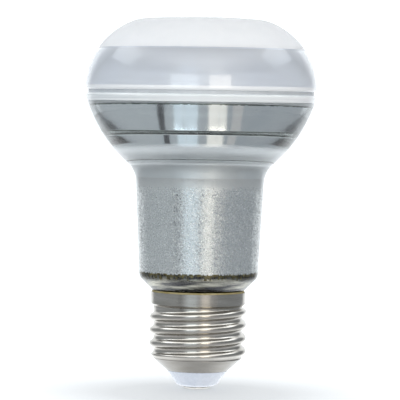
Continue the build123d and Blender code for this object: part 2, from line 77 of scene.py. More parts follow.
# rounds one corner of a profile with a smooth curve that starts and ends at reach from it
def softCorner(points, corner, reach, count=10):
    at = min(range(len(points)), key=lambda i: math.dist(points[i], corner))
    low = at
    while low > 1 and math.dist(points[low], points[at]) < reach:
        low -= 1
    high = at
    while high < len(points) - 2 and math.dist(points[high], points[at]) < reach:
        high += 1
    start, end = Vector(points[low]), Vector(points[high])
    lowSide = (Vector(points[at]) - start).length
    highSide = (Vector(points[at]) - end).length
    pull = latheValues["cornerPull"]
    startPull = start + (start - Vector(points[low - 1])).normalized() * lowSide * pull
    endPull = end + (end - Vector(points[high + 1])).normalized() * highSide * pull
    curve = interpolate_bezier(start, startPull, endPull, end, count + 1)
    return points[:low] + [(p.x, p.y) for p in curve] + points[high + 1 :]


# one vertex drawn along a profile in mm, then spun round the lamp's axis
def latheProfile(name, points, steps, closed=True):
    merge = latheValues["merge"] * mm
    bpy.ops.object.select_all(action="DESELECT")
    bpy.ops.mesh.primitive_plane_add(size=mm)
    piece = bpy.context.object
    piece.name = name
    bpy.ops.object.mode_set(mode="EDIT")
    bpy.ops.mesh.select_all(action="SELECT")
    bpy.ops.mesh.merge(type="CENTER")
    r, z = points[0]
    bpy.ops.transform.translate(value=(r * mm, 0, z * mm))
    for nextR, nextZ in points[1:] + (points[:1] if closed else []):
        step = ((nextR - r) * mm, 0, (nextZ - z) * mm)
        bpy.ops.mesh.extrude_region_move(TRANSFORM_OT_translate={"value": step})
        r, z = nextR, nextZ
    bpy.ops.mesh.select_all(action="SELECT")
    bpy.ops.mesh.remove_doubles(threshold=merge)
    bpy.ops.mesh.spin(steps=steps, angle=math.tau, center=(0, 0, 0), axis=(0, 0, 1))
    bpy.ops.mesh.select_all(action="SELECT")
    bpy.ops.mesh.remove_doubles(threshold=merge)
    bpy.ops.mesh.normals_make_consistent(inside=False)
    bpy.ops.object.mode_set(mode="OBJECT")
    bpy.ops.object.shade_smooth_by_angle(angle=math.radians(latheValues["smoothAngle"]))
    piece.select_set(False)
    return piece


# radius and height of a face in mm, and whether it looks away from the axis
def facePlace(face):
    c = face.center
    r = math.hypot(c.x, c.y)
    outward = (face.normal.x * c.x + face.normal.y * c.y) / max(r, 1e-9)  # never divides by zero
    return r / mm, c.z / mm, outward


# node helpers for the finishes
def newFinish(name):
    finish = bpy.data.materials.new(name)
    finish.use_nodes = True
    tree = finish.node_tree
    tree.nodes.clear()
    out = tree.nodes.new("ShaderNodeOutputMaterial")
    shader = tree.nodes.new("ShaderNodeBsdfPrincipled")
    tree.links.new(shader.outputs["BSDF"], out.inputs["Surface"])
    return finish, tree, shader


def objectCoords(tree):
    return tree.nodes.new("ShaderNodeTexCoord").outputs["Object"]


def splitNode(tree, coords):
    split = tree.nodes.new("ShaderNodeSeparateXYZ")
    tree.links.new(coords, split.inputs["Vector"])
    return split.outputs


def grainNode(tree, scale, detail, stretch):
    mapping = tree.nodes.new("ShaderNodeMapping")
    mapping.inputs["Scale"].default_value = stretch
    grain = tree.nodes.new("ShaderNodeTexNoise")
    grain.inputs["Scale"].default_value = scale
    grain.inputs["Detail"].default_value = detail
    tree.links.new(objectCoords(tree), mapping.inputs["Vector"])
    tree.links.new(mapping.outputs["Vector"], grain.inputs["Vector"])
    return grain.outputs["Fac"]


def rangeNode(tree, source, low, high, fromLow=0.3, fromHigh=0.7):
    ranger = tree.nodes.new("ShaderNodeMapRange")
    ranger.inputs["From Min"].default_value = fromLow
    ranger.inputs["From Max"].default_value = fromHigh
    ranger.inputs["To Min"].default_value = low
    ranger.inputs["To Max"].default_value = high
    tree.links.new(source, ranger.inputs["Value"])
    return ranger.outputs["Result"]


def tintNode(tree, source, colourA, colourB, low=0.3, high=0.7):
    ramp = tree.nodes.new("ShaderNodeValToRGB")
    ramp.color_ramp.elements[0].position = low
    ramp.color_ramp.elements[0].color = (*colourA, 1)
    ramp.color_ramp.elements[1].position = high
    ramp.color_ramp.elements[1].color = (*colourB, 1)
    tree.links.new(source, ramp.inputs["Fac"])
    return ramp.outputs["Color"]


# the second input of these two is a socket or a plain value
def mathNode(tree, operation, first, second=0.0):
    node = tree.nodes.new("ShaderNodeMath")
    node.operation = operation
    tree.links.new(first, node.inputs[0])
    if isinstance(second, float):
        node.inputs[1].default_value = second
    else:
        tree.links.new(second, node.inputs[1])
    return node.outputs[0]


def vectorNode(tree, operation, first, second):
    node = tree.nodes.new("ShaderNodeVectorMath")
    node.operation = operation
    tree.links.new(first, node.inputs[0])
    if isinstance(second, tuple):
        node.inputs[1].default_value = second
    else:
        tree.links.new(second, node.inputs[1])
    return node.outputs["Vector" if operation == "SUBTRACT" else "Value"]


def bumpNode(tree, shader, source, strength, depth):
    bump = tree.nodes.new("ShaderNodeBump")
    bump.inputs["Strength"].default_value = strength
    bump.inputs["Distance"].default_value = depth
    tree.links.new(source, bump.inputs["Height"])
    tree.links.new(bump.outputs["Normal"], shader.inputs["Normal"])


# small flat facets, each with its own tilt and roughness; gives the roughness
def facetGrain(tree, shader, v):
    coords = objectCoords(tree)
    cells = tree.nodes.new("ShaderNodeTexVoronoi")
    cells.inputs["Scale"].default_value = 1 / v["cell"]
    tree.links.new(coords, cells.inputs["Vector"])
    fromCentre = vectorNode(tree, "SUBTRACT", coords, cells.outputs["Position"])
    lean = vectorNode(tree, "SUBTRACT", cells.outputs["Color"], (0.5, 0.5, 0.5))  # to all sides alike
    height = vectorNode(tree, "DOT_PRODUCT", fromCentre, lean)
    bumpNode(tree, shader, height, 1, v["tilt"])
    return rangeNode(tree, cells.outputs["Color"], *v["roughness"], *v["spread"])


# painted shade: a colour that darkens from one height to another, in m, but not on sides that turn away,
# which stay lighter as painted light
def paintedShade(tree, tint, v):
    height = splitNode(tree, objectCoords(tree))["Z"]
    share = rangeNode(tree, height, 1, v["share"], v["from"], v["to"])
    if "sides" in v:
        facing = tree.nodes.new("ShaderNodeLayerWeight").outputs["Facing"]
        share = mathNode(tree, "MAXIMUM", share, rangeNode(tree, facing, 0, 1, *v["sides"]))
    scaled = tree.nodes.new("ShaderNodeVectorMath")
    scaled.operation = "SCALE"
    tree.links.new(tint, scaled.inputs[0])
    tree.links.new(share, scaled.inputs["Scale"])
    return scaled.outputs[0]


# a roughness that rises from one height to another, in m
def matteZone(tree, rough, v):
    height = splitNode(tree, objectCoords(tree))["Z"]
    return mathNode(tree, "ADD", rough, rangeNode(tree, height, 0, v["roughness"], v["from"], v["to"]))


# what a finish has where its own values don't say
finishDefaults = {
    "stretch": (1, 1, 1), "ramp": (0.3, 0.7), "tintDetail": 2, "roughDetail": 3, "roughFiner": 3,
    "bumpStretch": (1, 1, 1), "bumpDetail": 3, "metallic": 0, "ior": 1.5, "transmission": 0,
    "coat": 0, "coatRoughness": 0.05, "subsurface": 0, "subsurfaceRadius": (0.002, 0.002, 0.002),
}


# a finish from two close colours, a roughness range and a fine grain, all on object coordinates
def grainFinish(name, ownValues):
    v = {**finishDefaults, **ownValues}
    finish, tree, shader = newFinish(name)
    tint = grainNode(tree, v["tintScale"], v["tintDetail"], v["stretch"])
    tint = tintNode(tree, tint, *v["colours"], *v["ramp"])
    if "paintedShade" in v:
        tint = paintedShade(tree, tint, v["paintedShade"])
    tree.links.new(tint, shader.inputs["Base Color"])
    if "facet" in v:
        rough = facetGrain(tree, shader, v["facet"])
    else:
        roughScale = v.get("roughScale", v["tintScale"] * v["roughFiner"])
        rough = grainNode(tree, roughScale, v["roughDetail"], v["stretch"])
        rough = rangeNode(tree, rough, *v["roughness"])
    if "matte" in v:
        rough = matteZone(tree, rough, v["matte"])
    tree.links.new(rough, shader.inputs["Roughness"])
    shader.inputs["Metallic"].default_value = v["metallic"]
    shader.inputs["IOR"].default_value = v["ior"]
    shader.inputs["Transmission Weight"].default_value = v["transmission"]
    shader.inputs["Coat Weight"].default_value = v["coat"]
    shader.inputs["Coat Roughness"].default_value = v["coatRoughness"]
    shader.inputs["Subsurface Weight"].default_value = v["subsurface"]
    shader.inputs["Subsurface Radius"].default_value = v["subsurfaceRadius"]
    if "bumpScale" in v:
        height = grainNode(tree, v["bumpScale"], v["bumpDetail"], v["bumpStretch"])
        bumpNode(tree, shader, height, v["bumpStrength"], v["bumpDepth"])
    return finish


def dress(name, finish):
    slots = nodes[name].material_slots
    for slot in slots:
        slot.material = finish
    if not slots:
        nodes[name].data.materials.append(finish)


# glass body, mirrored inside, its sizes in mm
glassBody = {
    "tubeRadius": 11.4, "tubeBore": 10.2, "tubeBottom": 17.4, "tubeTop": 25.65,
    "neckLow": (16.15, 30.4), "neckHigh": (17.6, 59.4), "neckWall": 1.5,
    "bowlRadius": 37.4, "rim": (31.5, 80.1), "rimBore": 27.8,
    "ledge": (26.335, 70.3), "ledgeWidth": 3.0, "bandFoot": (22.12, 64.6), "mouth": (16.1, 63.2),
    # points on the way to each spot, in the order of drawing
    "points": {
        "tubeTop": 12, "neckLow": 12, "neckHigh": 40, "rim": 60, "rimIn": 10, "ledge": 80, "step": 12,
        "bandFoot": 40, "mouth": 24, "neckIn": 120, "boreTop": 20, "boreFoot": 12,
    },
    # how far the rounding of each corner reaches
    "corners": {
        "neckHigh": 2.35, "bandFoot": 3.0, "mouth": 0.7, "neckLow": 0.5, "neckIn": 0.5,
        "tubeTop": 0.66, "boreTop": 0.66, "rim": 0.5, "rimIn": 0.25, "ledge": 0.3, "step": 0.3,
    },
    "steps": 256,
    # where the coats start and end
    "coatTop": 77.5, "coatTopJag": 0.15, "topLine": 0.4, "rimMargin": 0.5,
    "coatFoot": 32.1, "coatFootJag": 0.35, "coatLine": 0.9, "coatLineLeast": 0.5, "grainTop": 57.6,
    "ledgeLine": 0.32, "ledgeMargin": 0.2, "mouthLine": (18.2, 63.69), "mouthLineHalf": 0.25,
}


def glassProfile(v):
    spots = {
        "tubeTop": (v["tubeRadius"], v["tubeTop"]),
        "neckLow": v["neckLow"], "neckHigh": v["neckHigh"],
        "rim": v["rim"], "rimIn": (v["rimBore"], v["rim"][1]),
        "ledge": v["ledge"], "step": (v["ledge"][0] - v["ledgeWidth"], v["ledge"][1]),
        "bandFoot": v["bandFoot"], "mouth": v["mouth"],
        "neckIn": (v["neckLow"][0] - v["neckWall"], v["neckLow"][1]),
        "boreTop": (v["tubeBore"], v["tubeTop"]), "boreFoot": (v["tubeBore"], v["tubeBottom"]),
    }
    last = (v["tubeRadius"], v["tubeBottom"])
    path = [last]
    for name, count in v["points"].items():
        if name == "rim":
            path += arcTo(last, spots[name], v["bowlRadius"], count)
        else:
            path += runTo(last, spots[name], count)
        last = spots[name]
    for name, reach in v["corners"].items():
        path = softCorner(path, spots[name], reach)
    return path


def buildGlassBody(v, finishes):
    piece = latheProfile("glassReflector", glassProfile(v), v["steps"])
    for finish in finishes:
        piece.data.materials.append(finish)
    clear, mirror, frost, bare, ledge, rim, line = range(7)
    ledgeRadius, ledgeHeight = v["ledge"]
    jags = {}
    for face in piece.data.polygons:
        r, z, outward = facePlace(face)
        turn = int(math.atan2(face.center.y, face.center.x) / math.tau * v["steps"])
        if turn not in jags:
            jags[turn] = (random.random(), random.random())
        topJag, footJag = jags[turn]
        coatTop = v["coatTop"] + v["coatTopJag"] * topJag
        coatFoot = v["coatFoot"] - v["coatFootJag"] * footJag
        # painted highlight: the rim's faces get the milky white rim finish
        if z > v["coatTop"] + v["topLine"] and r > v["rimBore"] - v["rimMargin"]:
            kind = rim
        # painted shade: a dark ring on the ledge
        elif abs(z - ledgeHeight) < v["ledgeLine"] and r < ledgeRadius + v["ledgeMargin"]:
            kind = ledge
        elif outward >= 0:
            kind = clear
        # painted shade: dark inside above the coat, and a thin dark ring at the mouth
        elif z > coatTop or math.dist((r, z), v["mouthLine"]) < v["mouthLineHalf"]:
            kind = ledge
        elif z > v["grainTop"]:
            kind = mirror
        elif z > coatFoot:
            kind = frost
        elif z > coatFoot - v["coatLine"] * (v["coatLineLeast"] + topJag):
            kind = line
        # below the coat line the inside gets the thin coat finish, whose dark part is painted shade
        else:
            kind = bare
        face.material_index = kind
    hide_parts("glass_reflector")
    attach(piece, "root")


# front lens, its sizes in mm and turns in degrees
lens = {
    "radius": 31.5, "bottom": 81.0, "shoulder": 20.0, "edge": 11.0, "edgeTurn": 68.0, "crownSlope": 4.0,
    "wall": 1.8, "footBore": 26.5, "footHeight": 1.2, "frostHeight": 92.35, "frostShadeLine": 0.3,
    "edgeLine": 1.2, "steps": 256,
    # points along each run, and how far the rounding of the foot's corners reaches
    "crownPoints": 12, "edgePoints": 10, "frostPoints": 20, "bandPoints": 60, "insidePoints": 24,
    "footPoints": 20, "footWallPoints": 6, "footTopPoints": 8,
    "skirtCorner": 0.5, "footCorner": 0.2, "cornerPoints": 6,
}


def lensProfile(v):
    turn, slope = math.radians(v["edgeTurn"]), math.radians(v["crownSlope"])
    centre = (v["radius"] - v["shoulder"], v["bottom"])
    spread = v["shoulder"] - v["edge"]
    edgeCentre = (centre[0] + spread * math.cos(turn), centre[1] + spread * math.sin(turn))
    crown = edgeCentre[0] / math.sin(slope) + v["edge"]
    crownCentre = (0, edgeCentre[1] - (crown - v["edge"]) * math.cos(slope))
    crownTurn = 90 - v["crownSlope"]
    inner = v["shoulder"] - v["wall"]
    frostOut = math.degrees(math.asin((v["frostHeight"] - centre[1]) / v["shoulder"]))
    frostIn = math.degrees(math.asin((v["frostHeight"] - centre[1]) / inner))
    footTurn = math.degrees(math.asin(v["footHeight"] / inner))
    skirtFoot = (v["radius"], v["bottom"])
    footIn = (v["footBore"], v["bottom"])
    footTop = (v["footBore"], v["bottom"] + v["footHeight"])
    innerBand = arcAbout(centre, inner, footTurn, frostIn, v["insidePoints"])
    # over the outside from the axis to the skirt, across the foot, and back along the inside
    path = arcAbout(crownCentre, crown, 90, crownTurn, v["crownPoints"])
    path += arcAbout(edgeCentre, v["edge"], crownTurn, v["edgeTurn"], v["edgePoints"])[1:]
    path += arcAbout(centre, v["shoulder"], v["edgeTurn"], frostOut, v["frostPoints"])[1:]
    path += arcAbout(centre, v["shoulder"], frostOut, 0, v["bandPoints"])[1:]
    path += runTo(skirtFoot, footIn, v["footPoints"])
    path += runTo(footIn, footTop, v["footWallPoints"])
    path += runTo(footTop, innerBand[0], v["footTopPoints"])
    path += innerBand[1:]
    path += arcAbout(centre, inner, frostIn, v["edgeTurn"], v["frostPoints"])[1:]
    path += arcAbout(edgeCentre, v["edge"] - v["wall"], v["edgeTurn"], crownTurn, v["edgePoints"])[1:]
    path += arcAbout(crownCentre, crown - v["wall"], crownTurn, 90, v["crownPoints"])[1:]
    path = softCorner(path, skirtFoot, v["skirtCorner"], v["cornerPoints"])
    for corner in (footIn, footTop):
        path = softCorner(path, corner, v["footCorner"], v["cornerPoints"])
    return path


def buildLens(v, finishes):
    piece = latheProfile("frontLens", lensProfile(v), v["steps"], closed=False)
    for finish in finishes:
        piece.data.materials.append(finish)
    band, frosted, inside, line, edge = range(5)
    for face in piece.data.polygons:
        z, outward = facePlace(face)[1:]
        if z > v["frostHeight"]:
            kind = frosted
        elif outward < 0 and z > v["bottom"] + v["footHeight"]:
            kind = inside
        # painted shade: a thin darker ring just under the frost, for the shadow of the reflector ring's
        # rim
        elif z > v["frostHeight"] - v["frostShadeLine"]:
            kind = line
        elif z < v["bottom"] + v["edgeLine"]:
            kind = edge
        else:
            kind = band
        face.material_index = kind
    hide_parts("front_lens")
    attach(piece, "root")


# in the order of the kinds in buildGlassBody; heights and depths in m
glassFinishes = {
    "clearGlass": {
        "colours": ((0.93, 0.96, 0.955), (0.96, 0.98, 0.975)), "tintScale": 60, "roughness": (0.0, 0.015),
        "transmission": 1, "ior": 1.47, "bumpScale": 70, "bumpStrength": 0.04, "bumpDepth": 0.001,
    },
    "mirrorCoat": {
        "colours": ((0.85, 0.88, 0.90), (0.91, 0.93, 0.94)), "tintScale": 120, "roughness": (0.07, 0.12),
        "metallic": 1, "bumpScale": 90, "bumpStrength": 0.05, "bumpDepth": 0.001,
        "matte": {"from": 0.0677, "to": 0.0652, "roughness": 0.42},
    },
    "frostCoat": {
        "colours": ((0.835, 0.845, 0.85), (0.85, 0.86, 0.86)), "tintScale": 1500, "metallic": 1,
        "facet": {"cell": 0.00027, "tilt": 0.09, "roughness": (0.04, 0.30), "spread": (0.2, 0.8)},
        "matte": {"from": 0.053, "to": 0.0575, "roughness": 0.45},
    },
    # the coat thinning out below its foot, dark to gold; its dark part is painted shade for the unlit
    # inside seen through the clear glass
    "thinCoatShade": {
        "colours": ((0.02, 0.02, 0.025), (0.66, 0.63, 0.52)), "ramp": (0.4, 0.75), "tintScale": 210,
        "roughness": (0.04, 0.12), "metallic": 1, "stretch": (0.5, 0.5, 4),
        "bumpScale": 260, "bumpStrength": 0.3, "bumpDepth": 0.0004,
    },
    # painted shade: dark lines on the ledge, inside above the coat and round the mouth
    "ledgeShadeLines": {
        "colours": ((0.10, 0.12, 0.11), (0.24, 0.27, 0.25)), "tintScale": 200, "roughness": (0.15, 0.3),
        "metallic": 1, "bumpScale": 400, "bumpStrength": 0.1, "bumpDepth": 0.0002,
    },
    # painted highlight: milky white rim with lighter rings, standing in for the bright lines of a clear
    # glass rim
    "rimHighlightGlass": {
        "colours": ((0.68, 0.72, 0.73), (0.98, 0.985, 0.99)), "tintScale": 200, "roughness": (0.05, 0.12),
        "transmission": 0.05, "stretch": (0.08, 0.08, 9),
        "bumpScale": 60, "bumpStretch": (1, 1, 14), "bumpStrength": 0.3, "bumpDepth": 0.0005,
    },
    "coatLine": {
        "colours": ((0.015, 0.014, 0.01), (0.22, 0.18, 0.06)), "tintScale": 900, "roughness": (0.2, 0.5),
        "metallic": 0.8, "bumpScale": 1500, "bumpStrength": 0.4, "bumpDepth": 0.0002,
    },
}
buildGlassBody(glassBody, [grainFinish(name, values) for name, values in glassFinishes.items()])
print("glass body built")

# in the order of the kinds in buildLens
lensFinishes = {
    "clearBand": {
        "colours": ((0.885, 0.925, 1.0), (0.915, 0.95, 1.0)), "tintScale": 90, "roughness": (0.30, 0.38),
        # painted shade: the band darkens towards its top, and painted light keeps its sides lighter
        "paintedShade": {"from": 0.083, "to": 0.0915, "share": 0.55, "sides": (0.2, 0.7)},
        "transmission": 0.43, "coat": 1, "coatRoughness": 0.02,
    },
    "frostedLens": {
        "colours": ((0.955, 0.96, 0.97), (0.985, 0.985, 0.99)), "tintScale": 300, "roughness": (0.5, 0.62),
        # painted shade: the frosted cap darkens towards its top
        "paintedShade": {"from": 0.0935, "to": 0.1005, "share": 0.79},
        "transmission": 0.45, "bumpScale": 5000, "bumpStrength": 0.2, "bumpDepth": 0.00003,
    },
    "lensInside": {
        "colours": ((0.94, 0.95, 0.98), (0.96, 0.97, 0.99)), "tintScale": 120, "roughness": (0.08, 0.16),
        "transmission": 1, "bumpScale": 200, "bumpStrength": 0.1, "bumpDepth": 0.0003,
    },
    # painted shade: darker ring under the frost, standing for the shadow of the reflector ring's rim
    "frostShadeLine": {
        "colours": ((0.60, 0.64, 0.72), (0.68, 0.72, 0.80)), "tintScale": 400, "roughness": (0.30, 0.38),
        "transmission": 0.6, "coat": 1, "coatRoughness": 0.02,
    },
    "lensEdge": {
        "colours": ((0.95, 0.955, 0.97), (0.975, 0.98, 0.99)), "tintScale": 90, "roughness": (0.30, 0.38),
        "transmission": 0.1, "coat": 1, "coatRoughness": 0.03,
    },
}
buildLens(lens, [grainFinish(name, values) for name, values in lensFinishes.items()])
print("front lens built")

# finishes of the pieces that keep their CAD shape
capFinishes = {
    "screw_shell": {
        "colours": ((0.455, 0.43, 0.385), (0.54, 0.515, 0.475)), "tintScale": 260,
        "roughness": (0.19, 0.26), "roughScale": 500, "metallic": 1, "stretch": (0.5, 0.5, 3),
        # painted shade: the shell darkens towards the bottom, over the cone below the thread
        "paintedShade": {"from": 0.0092, "to": 0.0080, "share": 0.6},
        "bumpScale": 700, "bumpStretch": (0.3, 0.3, 6), "bumpStrength": 0.12, "bumpDepth": 0.00006,
    },
    "cap_insulator": {
        "colours": ((0.77, 0.82, 0.93), (0.82, 0.86, 0.95)), "tintScale": 200, "roughness": (0.22, 0.32),
        "coat": 0.3, "subsurface": 0.15, "bumpScale": 900, "bumpStrength": 0.05, "bumpDepth": 0.0001,
    },
    "centre_contact": {
        "colours": ((0.50, 0.48, 0.44), (0.66, 0.64, 0.60)), "tintScale": 500, "roughness": (0.25, 0.45),
        "metallic": 1, "bumpScale": 1500, "bumpStrength": 0.15, "bumpDepth": 0.00005,
    },
    "cap_cement": {
        "colours": ((0.42, 0.33, 0.12), (0.66, 0.56, 0.30)), "tintScale": 700, "roughness": (0.6, 0.9),
        "bumpScale": 2500, "bumpStrength": 0.5, "bumpDepth": 0.0001,
    },
    "lens_seal": {
        "colours": ((0.66, 0.68, 0.71), (0.74, 0.76, 0.79)), "tintScale": 300, "roughness": (0.3, 0.45),
        "bumpScale": 900, "bumpStrength": 0.15, "bumpDepth": 0.0001,
    },
}
insideFinishes = {
    "heat_spreader": {
        "colours": ((0.84, 0.87, 0.91), (0.90, 0.92, 0.95)), "tintScale": 250, "roughness": (0.3, 0.42),
        "metallic": 0.4, "stretch": (1, 1, 4),
        "bumpScale": 1200, "bumpStrength": 0.1, "bumpDepth": 0.00005,
    },
    "reflector_ring": {
        "colours": ((0.80, 0.82, 0.84), (0.88, 0.89, 0.90)), "tintScale": 200, "roughness": (0.10, 0.2),
        "metallic": 1, "bumpScale": 400, "bumpStrength": 0.05, "bumpDepth": 0.0001,
    },
    "led_board": {
        "colours": ((0.80, 0.81, 0.80), (0.86, 0.87, 0.86)), "tintScale": 400, "roughness": (0.4, 0.55),
        "bumpScale": 2000, "bumpStrength": 0.1, "bumpDepth": 0.00005,
    },
    "driver_housing": {
        "colours": ((0.62, 0.62, 0.60), (0.70, 0.70, 0.68)), "tintScale": 300, "roughness": (0.4, 0.55),
        "bumpScale": 1800, "bumpStrength": 0.15, "bumpDepth": 0.00005,
    },
    "driver_board": {
        "colours": ((0.06, 0.20, 0.09), (0.10, 0.28, 0.13)), "tintScale": 600, "roughness": (0.35, 0.5),
        "coat": 0.3, "bumpScale": 2500, "bumpStrength": 0.15, "bumpDepth": 0.00004,
    },
    "bulk_capacitor": {
        "colours": ((0.05, 0.06, 0.09), (0.09, 0.10, 0.14)), "tintScale": 350, "roughness": (0.25, 0.4),
        "coat": 0.2, "bumpScale": 1200, "bumpStrength": 0.1, "bumpDepth": 0.00004,
    },
    "film_capacitor": {
        "colours": ((0.60, 0.30, 0.06), (0.70, 0.38, 0.10)), "tintScale": 350, "roughness": (0.3, 0.45),
        "bumpScale": 1200, "bumpStrength": 0.1, "bumpDepth": 0.00004,
    },
    "inductor_core": {
        "colours": ((0.05, 0.05, 0.055), (0.10, 0.10, 0.11)), "tintScale": 900, "roughness": (0.6, 0.8),
        "bumpScale": 3000, "bumpStrength": 0.3, "bumpDepth": 0.00004,
    },
    "inductor_winding": {
        "colours": ((0.55, 0.22, 0.08), (0.72, 0.34, 0.14)), "tintScale": 700, "roughness": (0.25, 0.4),
        "metallic": 1, "bumpScale": 1500, "bumpStrength": 0.1, "bumpDepth": 0.00004,
    },
    "fuse_resistor": {
        "colours": ((0.20, 0.36, 0.42), (0.28, 0.45, 0.50)), "tintScale": 600, "roughness": (0.35, 0.5),
        "bumpScale": 2500, "bumpStrength": 0.15, "bumpDepth": 0.00004,
    },
}
for name, values in {**capFinishes, **insideFinishes}.items():
    dress(name, grainFinish(name + "Finish", values))

# pieces that differ in colour only
packageValues = {
    "tintScale": 900, "roughness": (0.5, 0.65),
    "bumpScale": 4000, "bumpStrength": 0.2, "bumpDepth": 0.00003,
}
packageColours = {
    "bridge_rectifier": ((0.03, 0.03, 0.03), (0.06, 0.06, 0.065)),
    "driver_chip": ((0.03, 0.03, 0.035), (0.055, 0.055, 0.06)),
}
leadValues = {
    "tintScale": 600, "roughness": (0.35, 0.5),
    "bumpScale": 2500, "bumpStrength": 0.1, "bumpDepth": 0.00003,
}
leadColours = {
    "live_lead": ((0.42, 0.05, 0.04), (0.52, 0.08, 0.06)),
    "neutral_lead": ((0.04, 0.10, 0.36), (0.06, 0.14, 0.46)),
    "led_lead_positive": ((0.62, 0.58, 0.52), (0.72, 0.68, 0.62)),
    "led_lead_negative": ((0.05, 0.05, 0.05), (0.09, 0.09, 0.09)),
}
for shared, pairs in ((packageValues, packageColours), (leadValues, leadColours)):
    for name, colours in pairs.items():
        dress(name, grainFinish(name + "Finish", {**shared, "colours": colours}))

# one finish for all the light emitting packages
ledValues = {
    "colours": ((0.80, 0.62, 0.16), (0.88, 0.74, 0.30)), "tintScale": 900, "roughness": (0.3, 0.45),
    "coat": 0.4, "bumpScale": 3500, "bumpStrength": 0.1, "bumpDepth": 0.00003,
}
ledFinish = grainFinish("ledPhosphor", ledValues)
for name in nodes:
    if name.startswith("led_") and name[4:].isdigit():
        dress(name, ledFinish)
print("finishes set")

# paper of the floor, the sweep and the cards; the blue of the first two is a little over the rest
paperValues = {"roughness": 0.7, "blueShare": 1.02, "cardRoughness": 0.9}


# paper that glows, less so in a soft round patch under the lamp: a painted contact shadow
def glowPaper(name, v):
    finish, tree, shader = newFinish(name)
    shade = v["shade"]
    shader.inputs["Base Color"].default_value = (shade, shade, shade * paperValues["blueShare"], 1)
    shader.inputs["Roughness"].default_value = paperValues["roughness"]
    shader.inputs["Emission Color"].default_value = (*v["glowColour"], 1)
    away = vectorNode(tree, "DISTANCE", objectCoords(tree), v["shadowPatchCentre"])
    shadowPatchEnd = v["shadowPatchRadius"] + v["shadowPatchFade"]
    glow = rangeNode(tree, away, v["shadowPatchGlow"], v["glow"], v["shadowPatchRadius"], shadowPatchEnd)
    return finish, tree, shader, glow


# plain pale floor and round wall, seen by the camera only: every view has the same ground; sizes in m
floorValues = {
    "radius": 2.4, "height": 2.4, "sides": 128,
    "shade": 0.25, "glowColour": (0.94, 0.98, 1.0), "glow": 1.14,
    # painted shadow: the floor glows less round the lamp's foot
    "shadowPatchCentre": (0, -0.012, 0), "shadowPatchRadius": 0.022, "shadowPatchFade": 0.0685, "shadowPatchGlow": 0.437,
}


def buildFloor(v):
    bpy.ops.object.select_all(action="DESELECT")
    bpy.ops.mesh.primitive_cylinder_add(vertices=v["sides"], radius=v["radius"], depth=v["height"])
    floor = bpy.context.object
    floor.name = "paleFloor"
    bpy.ops.object.mode_set(mode="EDIT")
    bpy.ops.mesh.select_all(action="SELECT")
    bpy.ops.transform.translate(value=(0, 0, v["height"] / 2))
    bpy.ops.object.mode_set(mode="OBJECT")
    floor.select_set(False)
    floor.visible_diffuse = floor.visible_glossy = False
    floor.visible_transmission = floor.visible_shadow = False
    finish, tree, shader, glow = glowPaper("paleFloor", v)
    tree.links.new(glow, shader.inputs["Emission Strength"])
    floor.data.materials.append(finish)


buildFloor(floorValues)

# grey sweep that lights the lamp and shows in its mirror, bright in a fan behind the lamp; sizes in m
sweepValues = {
    "width": 1.3, "front": -1.6, "back": 0.75, "drop": 0.14,
    "wall": 1.2, "bend": 0.25, "bendSegments": 16,
    "shade": 0.40, "glowColour": (0.94, 0.98, 1.0), "glow": 0.93,
    "fanStart": -0.25, "fanHalf": 0.46, "fanFade": 0.16, "fanRest": 0.2,
    "glowStart": -0.025, "startFade": 0.05,
    # painted shade: the sweep glows less under the lamp, so the lamp's mirror and cap see a darker floor
    # there
    "shadowPatchCentre": (0, -0.04, -0.14), "shadowPatchRadius": 0.065, "shadowPatchFade": 0.09, "shadowPatchGlow": 0.34,
}


def buildSweep(v):
    bpy.ops.object.select_all(action="DESELECT")
    bpy.ops.mesh.primitive_plane_add(size=1)
    sweep = bpy.context.object
    sweep.name = "greySweep"
    bpy.ops.object.mode_set(mode="EDIT")
    bpy.ops.mesh.select_all(action="SELECT")
    bpy.ops.transform.resize(value=(v["width"], v["back"] - v["front"], 1))
    bpy.ops.transform.translate(value=(0, (v["back"] + v["front"]) / 2, -v["drop"]))
    bpy.ops.mesh.select_all(action="DESELECT")
    bpy.ops.object.mode_set(mode="OBJECT")
    for edge in sweep.data.edges:
        edge.select = all(sweep.data.vertices[i].co.y > 0 for i in edge.vertices)
    bpy.ops.object.mode_set(mode="EDIT")
    bpy.ops.mesh.select_mode(type="EDGE")
    bpy.ops.mesh.extrude_region_move(TRANSFORM_OT_translate={"value": (0, 0, v["wall"])})
    bpy.ops.object.mode_set(mode="OBJECT")
    bend = sweep.modifiers.new("bend", "BEVEL")
    bend.width = v["bend"]
    bend.segments = v["bendSegments"]
    bpy.ops.object.modifier_apply(modifier="bend")
    bpy.ops.object.shade_smooth()
    sweep.select_set(False)
    sweep.visible_camera = False
    finish, tree, shader, glow = glowPaper("greySweep", v)
    place = splitNode(tree, objectCoords(tree))
    side = mathNode(tree, "ABSOLUTE", place["X"])
    fan = mathNode(tree, "DIVIDE", side, mathNode(tree, "SUBTRACT", place["Y"], v["fanStart"]))
    across = rangeNode(tree, fan, 1, v["fanRest"], v["fanHalf"], v["fanHalf"] + v["fanFade"])
    along = rangeNode(tree, place["Y"], 0, 1, v["glowStart"] - v["startFade"], v["glowStart"])
    fanGlow = mathNode(tree, "MULTIPLY", mathNode(tree, "MULTIPLY", across, along), glow)
    tree.links.new(fanGlow, shader.inputs["Emission Strength"])
    sweep.data.materials.append(finish)


buildSweep(sweepValues)

# what the soft boxes and cards face: a point on the lamp's axis, in m
stageAim = Vector((0, 0, 0.07))


# place and turn of something that faces the lamp
def facingLamp(v):
    azimuth, elevation = math.radians(v["azimuth"]), math.radians(v["elevation"])
    level = math.cos(elevation)
    out = Vector((math.sin(azimuth) * level, -math.cos(azimuth) * level, math.sin(elevation)))
    return stageAim + out * v["distance"], (-out).to_track_quat("-Z", "Y").to_euler()


